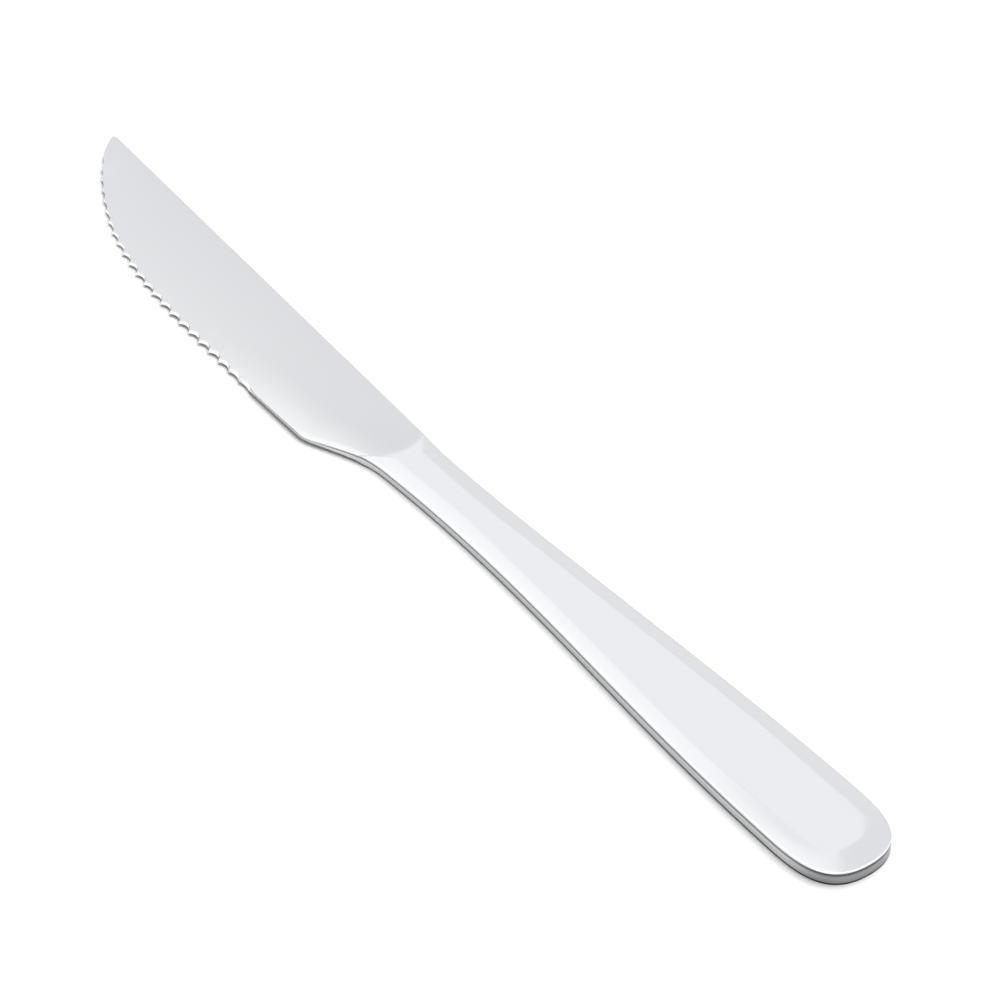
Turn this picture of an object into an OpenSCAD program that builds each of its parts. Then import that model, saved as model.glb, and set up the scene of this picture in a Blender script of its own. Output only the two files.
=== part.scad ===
// Steak knife made in one piece from a strip of stainless steel.
// The strip is blanked to the knife's outline, rolled thinner towards the blade, crowned round the
// handle's rim, ground thin on both faces of the blade and scalloped along the cutting edge.
// The knife lies on its left face: +X runs from the blade's point to the handle's round end,
// +Y is the side of the spine, and the handle's flat underside rests on Z = 0.
// The outline below is laid out from the point, with the handle's centre line along the X axis.

/* [Overall] */
// Length from the blade's point to the handle's round end
knife_l = 216; // [190:1:240]
// Thickness of the strip at the handle's round end
end_t = 2.85; // [2.4:0.05:3.2]
// Thickness of the strip where the ground blade stops
neck_t = 2; // [1.8:0.05:2.3]

/* [Blade] */
// Distance from the point to the end of the ground face
blade_l = 100.88; // [96:0.02:106]
// Height of the point's top corner above the handle's centre line
point_y = 9.43; // [8:0.01:11]
// Length of the point's small rounding
point_r = 0.6; // [0.3:0.05:1]
// Thickness of the ground blade at the point
point_t = 0.8; // [0.6:0.05:1]
// Depth of the step where the ground face stops, on each side
stop_d = 0.06; // [0.03:0.01:0.12]
// Radius of the arc that the grinding wheel leaves there
stop_r = 9.06; // [8:0.02:10]
// Height of that arc's centre above the handle's centre line
stop_y = 0.44; // [-0.5:0.01:1]
// Distance from the point to the heel corner
heel_x = 87.7; // [84:0.1:90]
// Depth of the heel below the handle's centre line
heel_y = 11.05; // [10:0.01:12]
// Thickness of the cutting edge at the heel
heel_t = 0.95; // [0.7:0.05:1.2]
// Rounding of the heel corner, along each side
heel_r = 1.5; // [0.5:0.1:2.5]

/* [Cutting edge] */
// Thickness of the edge before it is scalloped, along the front of the blade
edge_t = 0.42; // [0.35:0.01:0.6]
// Distance from the point at which the edge turns into the long belly
belly_x = 9.15; // [8:0.05:11]
// Height of that place above the handle's centre line
belly_y = 0.72; // [0:0.02:1.5]
// Number of scallops
scallop_count = 23; // [16:1:26]
// Depth of a scallop
scallop_d = 0.8; // [0.5:0.05:0.9]
// Lean of the scallops from upright, which cuts a bevel into the upper face
scallop_lean = 22; // [15:1:40]
// Length of plain edge between the point and the first scallop
plain_front_l = 6.2; // [4:0.1:8]
// Length of plain edge between the last scallop and the heel corner
plain_heel_l = 15.5; // [12:0.1:20]

/* [Handle] */
// Distance from the point at which the straight spine runs out
spine_l = 102.35; // [96:0.05:108]
// Height of the spine there, above the centre line
neck_top_y = 4.73; // [4.2:0.01:5.4]
// Distance from the point to the lower side of the neck
neck_x = 106.35; // [104:0.05:110]
// Depth of the neck's lower side below the centre line
neck_low_y = 5.4; // [4.8:0.05:6]
// Greatest width of the handle
handle_w = 16.94; // [15:0.02:19]
// Distance from the widest place to the round end
cap_l = 12.65; // [10:0.05:15]
// Width of the crowned rim at the neck
rim_neck_w = 3.3; // [2.5:0.1:4]
// Width of the crowned rim at the round end
rim_end_w = 3.4; // [3:0.1:4.5]
// Fall of the crowned rim at the neck, on each side
rim_neck_d = 0.14; // [0.08:0.01:0.2]
// Fall of the crowned rim at the round end, on each side
rim_end_d = 0.26; // [0.2:0.01:0.35]
// Radius of the broken outer edges
edge_r = 0.25; // [0.15:0.01:0.3]

/* [Hidden] */

// Clearance by which every cut runs past the surface that it opens
over = 1;

// Directions of the outline, in degrees from +X, walking from the point down the belly
point_dir = -62;
belly_dir = -30.4;
heel_dir = 25.8;
neck_low_dir = 2.6;

// How far each stretch of outline keeps the directions of its two ends, as shares of its length
point_pull_share = [0.28, 0.28];
belly_pull_share = [0.28, 0.63];
throat_pull_share = [0.63, 0.36];
low_pull_share = [0.37, 0.4];
cap_pull_share = [0.43, 0.51];
top_pull_share = [0.33, 0.25];

// The belly levels out at this share of the heel's distance from the point
level_share = 0.96;

// The edge stays thin along the front and thickens towards the heel by this power of the distance
thicken_power = 4;

// Fall of the point's rounding, as a share of its length
point_fall_share = 0.6;

// The crowned rim falls away from the flat panel by this power of the way out to the edge
crown_power = 1.5;

// The crowned rim fades in between these shares of the blade's length
rim_from_share = 0.94;
rim_full_share = 1.01;

// Number of straight pieces in each stretch
point_n = 5;
belly_n = 18;
heel_n = 3;
throat_n = 10;
flare_n = 20;
cap_n = 12;

// Rows across a ground face and steps across the crowned rim and its broken edge
grind_rows = 8;
rim_n = 4;
edge_n = 3;

// Straight pieces in the arc of one scallop
arc_n = 8;

// Straight pieces in the whole circle of the grinding wheel's arc
wheel_n = 96;

// The ground face runs full width up to this share of the arc's radius before its end
wheel_from_share = 0.81;

// Places of the lines across a ground face, as shares of the ground length
grind_share = [-0.02, 0.1, 0.22, 0.34, 0.46, 0.58, 0.68, 0.77, 0.83, 0.87, 0.9, 0.93, 0.96, 1.02];

// The heel's hollow is gone at this share of the ground length
hollow_end_share = 0.985;

// The last scallops before the heel grow shallower: how many, and to what share of the depth
fade_n = 3;
fade_share = 0.35;

// The scallops' bevel runs out over this share of a scallop at each end of the row, and there it
// leaves the edge by this share of its own width
run_out_share = 0.5;
clear_share = 1.2;

half_w = handle_w / 2;
wide_x = knife_l - cap_l;
level_x = heel_x * level_share;
spine_dir = atan2(neck_top_y - point_y, spine_l - point_r);
taper = (end_t - neck_t) / (knife_l - blade_l);

// Small helpers: a unit vector, the middle plane of the strip, a value eased between two ends
function unit(angle) = [cos(angle), sin(angle)];
function ease(t) = let (s = min(max(t, 0), 1)) s * s * (3 - 2 * s);
function strip_t(x) = neck_t + taper * (x - blade_l);
function middle_z(x) = strip_t(x) / 2;

// A smooth stretch of outline from one point and direction to the next, without its last point
function stretch(from, from_dir, to, to_dir, pull, n) =
    let (
        l = norm(to - from),
        a = from + pull[0] * l * unit(from_dir),
        b = to - pull[1] * l * unit(to_dir)
    )
    [for (i = [0:n - 1]) let (t = i / n, s = 1 - t)
        s * s * s * from + 3 * s * s * t * a + 3 * s * t * t * b + t * t * t * to];

// Corners of the outline
point_low = [0, point_y - point_r * point_fall_share];
point_top = [point_r, point_y];
belly_start = [belly_x, belly_y];
belly_level = [level_x, -heel_y];
heel = [heel_x, -heel_y];
neck_low = [neck_x, -neck_low_y];
neck_top = [spine_l, neck_top_y];
wide_low = [wide_x, -half_w];
wide_top = [wide_x, half_w];
cap_end = [knife_l, 0];

// The heel corner is rounded over the same length on both sides
throat_start = heel + heel_r * unit(heel_dir);
heel_arc = [for (i = [0:heel_n - 1]) let (t = i / heel_n, s = 1 - t)
    s * s * (heel - [heel_r, 0]) + 2 * s * t * heel + t * t * throat_start];

// The cutting edge from the point to where it levels out
edge_curve = concat(
    stretch(point_low, point_dir, belly_start, belly_dir, point_pull_share, point_n),
    stretch(belly_start, belly_dir, belly_level, 0, belly_pull_share, belly_n),
    [belly_level]
);

// The lower side of the outline up to the neck, and the spine's points across from them
blade_low = concat(
    edge_curve,
    heel_arc,
    stretch(throat_start, heel_dir, neck_low, neck_low_dir, throat_pull_share, throat_n)
);
blade_top = [for (p = blade_low) point_top + (neck_top - point_top) * p[0] / neck_x];

// The two sides of the whole outline, point by point from the blade's point to the round end
low_side = concat(
    blade_low,
    stretch(neck_low, neck_low_dir, wide_low, 0, low_pull_share, flare_n),
    stretch(wide_low, 0, cap_end, 90, cap_pull_share, cap_n)
);
top_side = concat(
    blade_top,
    stretch(neck_top, spine_dir, wide_top, 0, top_pull_share, flare_n),
    stretch(wide_top, 0, cap_end, -90, cap_pull_share, cap_n)
);
side_n = len(low_side);
outline = concat(low_side, [cap_end], [for (i = [side_n - 1:-1:0]) top_side[i]]);

// Heights of the two sides of the blade at a distance from the point
function spine_y(x) = point_y + (x - point_r) * tan(spine_dir);
function edge_y(x) = lookup(max(x, belly_x), edge_curve);

// Half of the ground blade's thickness at a place. It thins from the spine to the edge along a
// parabola, so that the face is flat near the spine and falls away towards the cutting edge.
function spine_half(x) = let (t = x / blade_l)
    (1 - t) * point_t / 2 + t * (strip_t(blade_l) / 2 - stop_d);
function edge_half(x) = let (t = min(max(x, 0) / heel_x, 1))
    (edge_t + (heel_t - edge_t) * pow(t, thicken_power)) / 2;
function hollow(x) = (spine_half(x) - edge_half(x))
    * (1 - ease((x - heel_x) / (hollow_end_share * blade_l - heel_x)));
function ground_half(x, y) =
    let (share = (spine_y(x) - y) / (spine_y(x) - edge_y(x)))
    spine_half(x) - hollow(x) * pow(max(share, 0), 2);

// Outward direction at each point of the outline
function outward(i) =
    let (
        n = len(outline),
        d = outline[(i + 1) % n] - outline[(i + n - 1) % n],
        l = norm(d)
    )
    [d[1] / l, -d[0] / l];

// The crowned rim starts at the neck, and its width and fall grow towards the round end
function rim_share(x) = max((x - blade_l) / (knife_l - blade_l), 0);
function rim_w(x) = (rim_neck_w + (rim_end_w - rim_neck_w) * rim_share(x)) * rim_fade(x);
function rim_d(x) = rim_neck_d + (rim_end_d - rim_neck_d) * rim_share(x);
function rim_fade(x) = ease((x - rim_from_share * blade_l) / ((rim_full_share - rim_from_share) * blade_l));

// Profile of one face from the flat panel out to the edge, as points of inset and depth
function rim_profile(x) =
    let (r = edge_r * rim_fade(x))
    concat(
        [for (i = [0:rim_n]) let (t = i / rim_n) [r + rim_w(x) * (1 - t), rim_d(x) * pow(t, crown_power)]],
        [for (i = [1:edge_n]) let (a = 90 * i / edge_n)
            [r * (1 - sin(a)), rim_d(x) + edge_r * (1 - cos(a))]]
    );

// Section of the strip at one point of the outline, from the lower panel round to the upper one
function strip_section(i) =
    let (
        p = outline[i],
        out = outward(i),
        profile = rim_profile(p[0]),
        low = [for (q = profile) let (c = p - q[0] * out) [c[0], c[1], q[1]]],
        top = [for (q = profile) let (c = p - q[0] * out) [c[0], c[1], strip_t(c[0]) - q[1]]]
    )
    concat(low, [for (j = [len(top) - 1:-1:0]) top[j]]);

// The rolled and crowned strip before grinding: one section for each point of the outline
module strip() {
    n = len(outline);
    k = 2 * (rim_n + 1 + edge_n);
    walls = [for (i = [0:n - 1], j = [0:k - 2])
        let (a = i * k + j, b = (i + 1) % n * k + j)
        each [[a, a + 1, b + 1], [a, b + 1, b]]];
    // The flat panels run in strips from the lower side to the upper side
    panels = [for (i = [0:side_n - 1])
        let (a = i * k, b = (i + 1) * k, c = (n - 1 - i) * k, d = (n - 2 - i) * k, top = k - 1)
        each i < side_n - 1
            ? [[a, b, d, c], [a + top, c + top, d + top, b + top]]
            : [[a, b, c], [a + top, c + top, b + top]]];
    polyhedron([for (i = [0:n - 1]) each strip_section(i)], concat(walls, panels), convexity = 8);
}

// One ground face of the blade: side is 1 for the upper face and -1 for the lower one.
// Its end is the arc of the grinding wheel.
module grind(side) {
    low_y = -heel_y - over;
    row_y = (point_y - low_y + over) / (grind_rows - 1);
    cols = len(grind_share);
    full_x = blade_l - wheel_from_share * stop_r;
    sky = side > 0 ? end_t + over : -over;
    floor_points = [for (g = grind_share, r = [0:grind_rows - 1])
        let (x = g * blade_l, y = low_y + r * row_y)
        [x, y, middle_z(x) + side * ground_half(x, y)]];
    sky_points = [for (p = floor_points) [p[0], p[1], sky]];
    intersection() {
        polyhedron(concat(floor_points, sky_points), slab_faces(cols, grind_rows, side), convexity = 4);
        translate([0, 0, -over])
            linear_extrude(end_t + 2 * over)
                union() {
                    translate([-over, -heel_y - over])
                        square([full_x + over, heel_y + point_y + 2 * over]);
                    translate([blade_l - stop_r, stop_y])
                        circle(r = stop_r, $fn = wheel_n);
                }
    }
}

// Faces of a slab between a grid of points and its copy above, or below when side is -1
function slab_faces(cols, rows, side) =
    let (
        n = cols * rows,
        at = function(c, r) c * rows + r,
        grid = [for (c = [0:cols - 2], r = [0:rows - 2])
            let (a = at(c, r), b = at(c + 1, r), d = at(c, r + 1), e = at(c + 1, r + 1))
            each [[a, b, e], [a, e, d], [a + n, e + n, b + n], [a + n, d + n, e + n]]],
        ends = [for (r = [0:rows - 2])
            let (a = at(0, r), b = at(0, r + 1), d = at(cols - 1, r), e = at(cols - 1, r + 1))
            each [[a, b, b + n, a + n], [d, d + n, e + n, e]]],
        sides = [for (c = [0:cols - 2])
            let (a = at(c, 0), b = at(c + 1, 0), d = at(c, rows - 1), e = at(c + 1, rows - 1))
            each [[a, a + n, b + n, b], [d, e, e + n, d + n]]]
    )
    [for (f = concat(grid, ends, sides)) side > 0 ? f : [for (i = [len(f) - 1:-1:0]) f[i]]];

// Length along the cutting edge up to each of its points
function run(i) = i == 0 ? 0 : run(i - 1) + norm(edge_curve[i] - edge_curve[i - 1]);
edge_runs = [for (i = [0:len(edge_curve) - 1]) run(i)];
edge_l = edge_runs[len(edge_runs) - 1] + heel_x - level_x;
scallop_p = (edge_l - plain_front_l - plain_heel_l) / scallop_count;

// Place on the cutting edge at a length from the point
function edge_at(l) = [
    lookup(l, [for (i = [0:len(edge_curve) - 1]) [edge_runs[i], edge_curve[i][0]]]),
    lookup(l, [for (i = [0:len(edge_curve) - 1]) [edge_runs[i], edge_curve[i][1]]])
];

// How deep the scallops cut at a length along the edge: a row of round arcs, of which the last few
// fade out towards the heel
function scallop_depth(i, t) =
    let (
        left = scallop_count - 1 - i,
        d = scallop_d * (left < fade_n ? fade_share + (1 - fade_share) * left / fade_n : 1),
        half = scallop_p / 2,
        r = (half * half + d * d) / (2 * d),
        off = (2 * t - 1) * half
    )
    sqrt(r * r - off * off) - (r - d);

// The leaning cut of all the scallops: its inner wall leaves the arcs in the edge's lower side and
// a bevel in the blade's upper face, and past both ends of the row it swings clear of the edge
module scallops() {
    slope = tan(scallop_lean);
    row = [for (i = [0:scallop_count - 1], j = [0:arc_n - 1])
        let (t = j / arc_n) [i + t, scallop_depth(i, t)]];
    walk = concat([[-run_out_share, 0]], row, [[scallop_count, 0], [scallop_count + run_out_share, 0]]);
    points = [for (q = walk)
        let (
            place = edge_at(plain_front_l + q[0] * scallop_p),
            along = edge_at(plain_front_l + (q[0] + 1) * scallop_p)
                - edge_at(plain_front_l + (q[0] - 1) * scallop_p),
            out = [along[1], -along[0]] / norm(along),
            half = edge_half(place[0]),
            low_z = middle_z(place[0]) - half,
            beyond = q[0] < 0 || q[0] > scallop_count,
            depth = beyond ? -clear_share * 2 * half * slope : q[1],
            root = place - depth * out,
            far = place + 2 * over * slope * out
        )
        each [
            [each root + over * slope * out, low_z - over],
            [each root - over * slope * out, low_z + over],
            [each far, low_z + over],
            [each far, low_z - over]
        ]];
    k = 4;
    m = len(walk);
    walls = [for (i = [0:m - 2], j = [0:k - 1])
        let (a = i * k + j, b = i * k + (j + 1) % k)
        each [[a, a + k, b + k], [a, b + k, b]]];
    ends = [[for (j = [0:k - 1]) j], [for (j = [k - 1:-1:0]) (m - 1) * k + j]];
    polyhedron(points, concat(walls, ends), convexity = 10);
}

// The whole knife, with its origin under the middle of its outline
module knife() {
    color("silver")
        translate([-knife_l / 2, (heel_y - point_y) / 2, 0])
            difference() {
                strip();
                grind(1);
                grind(-1);
                scallops();
            }
}

knife();
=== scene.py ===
"""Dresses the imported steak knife: a fine mesh of the same strip of steel, its finishes and a studio."""

import math

import bpy
import numpy as np
from bpy.props import FloatProperty, IntProperty, PointerProperty, StringProperty
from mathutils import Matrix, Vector


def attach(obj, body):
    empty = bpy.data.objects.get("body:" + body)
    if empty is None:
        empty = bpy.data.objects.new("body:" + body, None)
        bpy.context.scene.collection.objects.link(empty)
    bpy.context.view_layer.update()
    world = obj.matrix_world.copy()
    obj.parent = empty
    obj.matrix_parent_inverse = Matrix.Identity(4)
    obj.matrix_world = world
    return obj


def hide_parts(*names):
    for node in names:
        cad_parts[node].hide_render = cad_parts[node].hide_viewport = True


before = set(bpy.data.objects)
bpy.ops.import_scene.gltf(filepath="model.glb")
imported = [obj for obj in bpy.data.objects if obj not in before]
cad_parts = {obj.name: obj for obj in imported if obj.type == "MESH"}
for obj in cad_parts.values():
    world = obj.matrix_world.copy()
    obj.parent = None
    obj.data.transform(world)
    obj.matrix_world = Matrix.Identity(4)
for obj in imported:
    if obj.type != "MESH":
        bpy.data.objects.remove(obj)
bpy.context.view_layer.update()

bl_info = {
    "name": "Steak knife",
    "version": (1, 0, 0),
    "blender": (4, 5, 0),
    "location": "View3D > Sidebar > Steak knife",
    "description": "Builds a steak knife of one piece of stainless steel, with its finishes and a studio",
    "category": "Add Mesh",
}

NODE = "knife"
MM = 0.001

# Numbers of the finishes on the mesh's faces, in the order of the materials
GROUND, POLISHED, BLANKED, BEVEL = range(4)

# Points closer than this are one point, and edges that turn by more than this stay sharp
WELD = 0.0005 * MM
SHARP_DEGREES = 25


def length(name, description, millimetres):
    """A size in metres, given in millimetres."""
    return FloatProperty(name=name, description=description, default=millimetres * MM, unit="LENGTH",
                         precision=5)


def angle(name, description, degrees):
    """An angle, given in degrees."""
    return FloatProperty(name=name, description=description, default=math.radians(degrees), unit="ROTATION")


def colour(name, description, code):
    """An sRGB colour, given as a hex value."""
    return StringProperty(name=name, description=description, default=code)


class BladeSizes(bpy.types.PropertyGroup):
    """Sizes of the ground blade."""

    blade_l: length("Blade length", "Distance from the point to the end of the ground face", 100.88)
    point_y: length("Point height", "Height of the point's top corner above the centre line", 9.43)
    point_r: length("Point rounding", "Length of the point's small rounding", 0.6)
    point_t: length("Point thickness", "Thickness of the ground blade at the point", 0.8)
    stop_d: length("Stop depth", "Depth of the step where the ground face stops", 0.06)
    stop_r: length("Stop radius", "Radius of the arc that the grinding wheel leaves", 9.06)
    stop_y: length("Stop height", "Height of that arc's centre above the centre line", 0.44)
    heel_x: length("Heel distance", "Distance from the point to the heel corner", 87.7)
    heel_y: length("Heel depth", "Depth of the heel below the centre line", 11.05)
    heel_t: length("Heel thickness", "Thickness of the cutting edge at the heel", 0.95)
    heel_r: length("Heel rounding", "Rounding of the heel corner along each side", 1.5)
    edge_t: length("Edge thickness", "Thickness of the edge before it is scalloped", 0.42)
    belly_x: length("Belly distance", "Distance from the point to where the edge turns", 9.15)
    belly_y: length("Belly height", "Height of that place above the centre line", 0.72)


class ScallopSizes(bpy.types.PropertyGroup):
    """Sizes of the scallops along the cutting edge."""

    count: IntProperty(name="Scallops", description="Number of scallops", default=23)
    depth: length("Depth", "Depth of a scallop", 0.8)
    lean: angle("Lean", "Lean of the scallops from upright, which cuts the bevel", 22)
    front_l: length("Plain front", "Plain edge between the point and the first scallop", 6.2)
    heel_l: length("Plain heel", "Plain edge between the last scallop and the heel corner", 15.5)
    fade_count: IntProperty(name="Shallow scallops", description="How many fade out at the heel", default=3)
    fade_share: FloatProperty(name="Shallow share", description="Depth share of the last one", default=0.35)
    lead_count: IntProperty(name="Leading scallops", description="How many deepen at the point", default=9)
    lead_share: FloatProperty(name="Leading share", description="Depth share of the first one", default=0.3)


class HandleSizes(bpy.types.PropertyGroup):
    """Sizes of the strip and of the handle."""

    knife_l: length("Knife length", "Length from the blade's point to the handle's round end", 216)
    end_t: length("End thickness", "Thickness of the strip at the round end", 2.85)
    neck_t: length("Neck thickness", "Thickness of the strip where the ground blade stops", 2)
    spine_l: length("Spine length", "Distance from the point at which the straight spine runs out", 102.35)
    neck_top_y: length("Neck top", "Height of the spine there, above the centre line", 4.73)
    neck_x: length("Neck distance", "Distance from the point to the lower side of the neck", 106.35)
    neck_low_y: length("Neck depth", "Depth of the neck's lower side below the centre line", 5.4)
    handle_w: length("Handle width", "Greatest width of the handle", 16.94)
    cap_l: length("Cap length", "Distance from the widest place to the round end", 12.65)
    rim_neck_w: length("Rim at neck", "Width of the crowned rim at the neck", 3.3)
    rim_end_w: length("Rim at end", "Width of the crowned rim at the round end", 3.4)
    rim_neck_d: length("Rim fall at neck", "Fall of the crowned rim at the neck", 0.14)
    rim_end_d: length("Rim fall at end", "Fall of the crowned rim at the round end", 0.26)
    edge_r: length("Edge radius", "Radius of the broken outer edges", 0.25)


class FinishColours(bpy.types.PropertyGroup):
    """Colours of the steel's finishes."""

    ground: colour("Ground", "Steel of the ground blade", "#DFE0E2")
    polished: colour("Polished", "Steel of the polished handle", "#EFF0F3")
    blanked: colour("Blanked", "Steel of the narrow sides", "#CFD0D2")
    # Painted shade on the narrow sides: a contact shadow along the lower edge and a dark reflection under the
    # upper
    painted_shadow_low: colour("Painted shade below", "Lower edge of the narrow sides", "#242526")
    painted_shade_up: colour("Painted shade above", "Upper edge of the narrow sides", "#7C7D7F")
    # Painted shade round the handle's end, where the narrow side faces away from the tent
    painted_end_shade: colour("Painted end shade", "What the narrow side is multiplied by round the handle's end", "#B2B3B4")
    bevel: colour("Bevel", "Steel of the freshly ground bevel", "#F2F2F3")


def unit(turn):
    """The unit vector at an angle in degrees."""
    a = math.radians(turn)
    return np.array((math.cos(a), math.sin(a)))


def ease(t):
    """A value eased from 0 to 1."""
    s = np.clip(t, 0, 1)
    return s * s * (3 - 2 * s)


def eased(value, start, way):
    """The eased share of a way that a value has gone from a start."""
    return ease((value - start) / way)


def stretch(start, start_dir, end, end_dir, pull, count):
    """Points of a smooth stretch of outline from one point and direction to the next, without the last."""
    start, end = np.array(start, float), np.array(end, float)
    span = np.linalg.norm(end - start)
    a = start + pull[0] * span * unit(start_dir)
    b = end - pull[1] * span * unit(end_dir)
    t = np.linspace(0, 1, count, endpoint=False)[:, None]
    s = 1 - t
    return s**3 * start + 3 * s * s * t * a + 3 * s * t * t * b + t**3 * end


def spaced(start, end, gap):
    """Places from a start towards an end, about a gap apart, without the end itself."""
    count = max(int(round((end - start) / gap)), 1)
    return np.linspace(start, end, count, endpoint=False)


class Outline:
    """The knife's outline, laid out from the point with the handle's centre line along X."""

    # Directions of the outline in degrees
    POINT_DIR = -62
    BELLY_DIR = -30.4
    HEEL_DIR = 25.8
    NECK_LOW_DIR = 2.6
    # How far the point's lower corner is below its top one, as a share of the point's rounding
    POINT_FALL = 0.6
    # Shares of the way to the heel where the edge runs level, and of the blade where its hollow has run out
    LEVEL = 0.96
    HOLLOW_END = 0.985
    # Power by which the edge thickens towards the heel
    THICKEN = 4
    # How far each stretch keeps its first and last direction, as shares of its span
    STRAIGHT = (1 / 3, 1 / 3)
    PULL = {
        "point": (0.28, 0.28),
        "belly": (0.28, 0.63),
        "throat": (0.63, 0.36),
        "low": (0.37, 0.4),
        "cap": (0.43, 0.51),
        "top": (0.2, 0.3),
    }
    # Points on a stretch and on the heel's corner
    FINE = 400
    CORNER_FINE = 40
    # Half of the length over which a direction along the outline is taken
    STEP = 0.02 * MM

    def __init__(self, blade, handle):
        self.b = blade
        self.h = handle
        self.wide_x = handle.knife_l - handle.cap_l
        self.spine_slope = (handle.neck_top_y - blade.point_y) / (handle.spine_l - blade.point_r)
        level_x = blade.heel_x * self.LEVEL
        self.edge = self.edge_side(level_x)
        self.low = self.low_side()
        self.top = self.top_side()
        self.low_run = self.runs(self.low)
        self.top_run = self.runs(self.top)
        self.edge_l = self.runs(self.edge)[-1] + blade.heel_x - level_x

    def edge_side(self, level_x):
        """The cutting edge, from the point to where it runs level before the heel."""
        b = self.b
        point_low = (0, b.point_y - b.point_r * self.POINT_FALL)
        belly = (b.belly_x, b.belly_y)
        level = (level_x, -b.heel_y)
        return np.concatenate([
            stretch(point_low, self.POINT_DIR, belly, self.BELLY_DIR, self.PULL["point"], self.FINE),
            stretch(belly, self.BELLY_DIR, level, 0, self.PULL["belly"], self.FINE),
            [level],
        ])

    def low_side(self):
        """The lower side: cutting edge, heel corner, throat, handle and half of the round end."""
        b, h = self.b, self.h
        heel = np.array((b.heel_x, -b.heel_y))
        throat = heel + b.heel_r * unit(self.HEEL_DIR)
        t = np.linspace(0, 1, self.CORNER_FINE, endpoint=False)[:, None]
        corner = (1 - t)**2 * (heel - (b.heel_r, 0)) + 2 * (1 - t) * t * heel + t * t * throat
        neck = (h.neck_x, -h.neck_low_y)
        wide = (self.wide_x, -h.handle_w / 2)
        end = (h.knife_l, 0)
        return np.concatenate([
            self.edge,
            corner,
            stretch(throat, self.HEEL_DIR, neck, self.NECK_LOW_DIR, self.PULL["throat"], self.FINE),
            stretch(neck, self.NECK_LOW_DIR, wide, 0, self.PULL["low"], self.FINE),
            stretch(wide, 0, end, 90, self.PULL["cap"], self.FINE),
            [end],
        ])

    def top_side(self):
        """The upper side: straight spine, handle and the other half of the round end."""
        b, h = self.b, self.h
        spine_dir = math.degrees(math.atan(self.spine_slope))
        point = (b.point_r, b.point_y)
        neck = (h.spine_l, h.neck_top_y)
        wide = (self.wide_x, h.handle_w / 2)
        end = (h.knife_l, 0)
        return np.concatenate([
            stretch(point, spine_dir, neck, spine_dir, self.STRAIGHT, self.FINE),
            stretch(neck, spine_dir, wide, 0, self.PULL["top"], self.FINE),
            stretch(wide, 0, end, -90, self.PULL["cap"], self.FINE),
            [end],
        ])

    @staticmethod
    def runs(points):
        """Length along a row of points up to each of them."""
        return np.concatenate([[0], np.cumsum(np.linalg.norm(np.diff(points, axis=0), axis=1))])

    def place(self, points, runs, lengths, side):
        """Points at lengths along a side, and the outward directions there."""
        at, ahead, behind = (np.stack([np.interp(lengths + step, runs, points[:, k]) for k in (0, 1)], 1)
                             for step in (0, self.STEP, -self.STEP))
        along = ahead - behind
        along /= np.linalg.norm(along, axis=1)[:, None]
        return at, side * np.stack([along[:, 1], -along[:, 0]], 1)

    def strip_t(self, x):
        """Thickness of the rolled strip."""
        h = self.h
        return h.neck_t + (h.end_t - h.neck_t) / (h.knife_l - self.b.blade_l) * (x - self.b.blade_l)

    def edge_half(self, x):
        """Half of the cutting edge's thickness before it is scalloped."""
        b = self.b
        t = np.clip(x / b.heel_x, 0, 1)
        return (b.edge_t + (b.heel_t - b.edge_t) * t**self.THICKEN) / 2

    def ground_half(self, x, y):
        """Half of the ground blade's thickness: it thins from the spine to the edge along a parabola."""
        b = self.b
        t = x / b.blade_l
        spine = (1 - t) * b.point_t / 2 + t * (self.strip_t(b.blade_l) / 2 - b.stop_d)
        spine_y = b.point_y + (x - b.point_r) * self.spine_slope
        edge_y = np.interp(np.maximum(x, b.belly_x), self.edge[:, 0], self.edge[:, 1])
        gone = eased(x, b.heel_x, self.HOLLOW_END * b.blade_l - b.heel_x)
        share = np.maximum((spine_y - y) / (spine_y - edge_y), 0)
        return spine - (spine - self.edge_half(x)) * (1 - gone) * share**2

    def face_z(self, x, y, ground, side):
        """Height of the upper face, or of the lower one where side is -1, before its rim falls away."""
        strip = self.strip_t(x)
        flat = np.where(side > 0, strip, 0)
        return np.where(ground, strip / 2 + side * self.ground_half(x, y), flat)


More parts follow.
